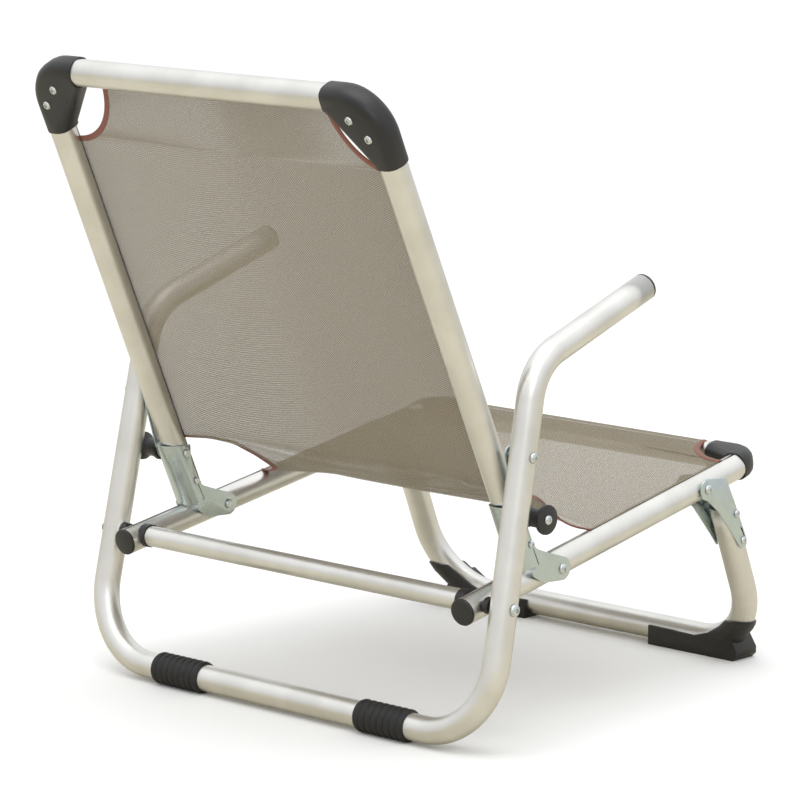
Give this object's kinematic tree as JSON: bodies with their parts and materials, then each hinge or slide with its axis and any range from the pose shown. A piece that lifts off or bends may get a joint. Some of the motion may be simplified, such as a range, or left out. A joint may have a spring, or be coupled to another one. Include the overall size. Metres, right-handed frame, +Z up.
{
  "type": "folding camp chair",
  "caption": "Folding camp chair of bent aluminium tube with a mesh sling seat and back, tubular armrests and folding legs.",
  "frame": {"origin": "on the floor, under the centre of the chair's bounding box", "axes": "+X to the sitter's left, -Y the way the sitter faces, +Z up"},
  "size_m": [0.5886, 0.645, 0.6726],
  "materials": {
    "aluminium": "satin anodised tube",
    "zinc": "bright zinc plated sheet",
    "steel": "zinc plated screw and rivet",
    "plastic": "satin charcoal moulding",
    "rubber": "matt ribbed rubber",
    "mesh": "woven coated mesh with a sewn edge binding"
  },
  "bodies": {
    "seat_frame": {"seat_rail_right": "aluminium", "seat_rail_left": "aluminium", "rail_plug_right": "plastic", "rail_plug_left": "plastic", "seat_corner_right": "plastic", "seat_corner_left": "plastic", "seat_front_tube": "aluminium", "rear_crossbar": "aluminium", "crossbar_saddle_right": "plastic", "crossbar_saddle_left": "plastic", "leg_spacer_right": "plastic", "leg_spacer_left": "plastic", "leg_pivot_bolt_right": "steel", "leg_pivot_bolt_left": "steel", "seat_sling": "mesh", "lumbar_sling": "mesh"},
    "backrest": {"back_stile_right": "aluminium", "back_stile_left": "aluminium", "back_top_tube": "aluminium", "back_corner_right": "plastic", "back_corner_left": "plastic", "corner_screw_upper_right": "steel", "corner_screw_upper_left": "steel", "corner_screw_lower_right": "steel", "corner_screw_lower_left": "steel", "hinge_bracket_right": "zinc", "hinge_bracket_left": "zinc", "hinge_bolt_right": "steel", "hinge_bolt_left": "steel", "bracket_rivet_right": "steel", "bracket_rivet_left": "steel", "spool_right": "plastic", "spool_left": "plastic", "spool_screw_right": "steel", "spool_screw_left": "steel", "back_sling": "mesh"},
    "rear_legs": {"rear_leg_tube": "aluminium", "arm_plug_right": "plastic", "arm_plug_left": "plastic", "floor_sleeve_right": "rubber", "floor_sleeve_left": "rubber", "link_bolt_right": "steel", "link_bolt_left": "steel"},
    "links": {"link_right": "zinc", "link_left": "zinc"},
    "front_legs": {"front_leg_tube": "aluminium", "front_plate_outer_right": "zinc", "front_plate_outer_left": "zinc", "front_plate_inner_right": "zinc", "front_plate_inner_left": "zinc", "front_pivot_bolt_right": "steel", "front_pivot_bolt_left": "steel", "front_rivet_upper_right": "steel", "front_rivet_upper_left": "steel", "front_rivet_lower_right": "steel", "front_rivet_lower_left": "steel", "leg_top_plug_right": "plastic", "leg_top_plug_left": "plastic", "foot_shoe_right": "plastic", "foot_shoe_left": "plastic"}
  },
  "joints": [
    {"name": "backrest_fold", "type": "hinge", "parent": "seat_frame", "child": "backrest", "pos_m": [0, 0.058, 0.1664], "axis": [1, 0, 0], "range_deg": [0, 104], "deforming": ["lumbar_sling"]},
    {"name": "rear_leg_fold", "type": "hinge", "parent": "seat_frame", "child": "rear_legs", "pos_m": [0, 0.173, 0.1485], "axis": [1, 0, 0], "range_deg": [0, 45.5]},
    {"name": "link_turn", "type": "hinge", "parent": "rear_legs", "child": "links", "pos_m": [0, 0.141, 0.296], "axis": [1, 0, 0], "range_deg": [-103.5, 0]},
    {"name": "front_leg_fold", "type": "hinge", "parent": "seat_frame", "child": "front_legs", "pos_m": [0, -0.188, 0.2092], "axis": [1, 0, 0], "range_deg": [0, 101]}
  ],
  "couplings": [
    {"joint": "rear_leg_fold", "follows": "backrest_fold", "ratio": 0.4354},
    {"joint": "link_turn", "follows": "backrest_fold", "ratio": -0.9892}
  ]
}
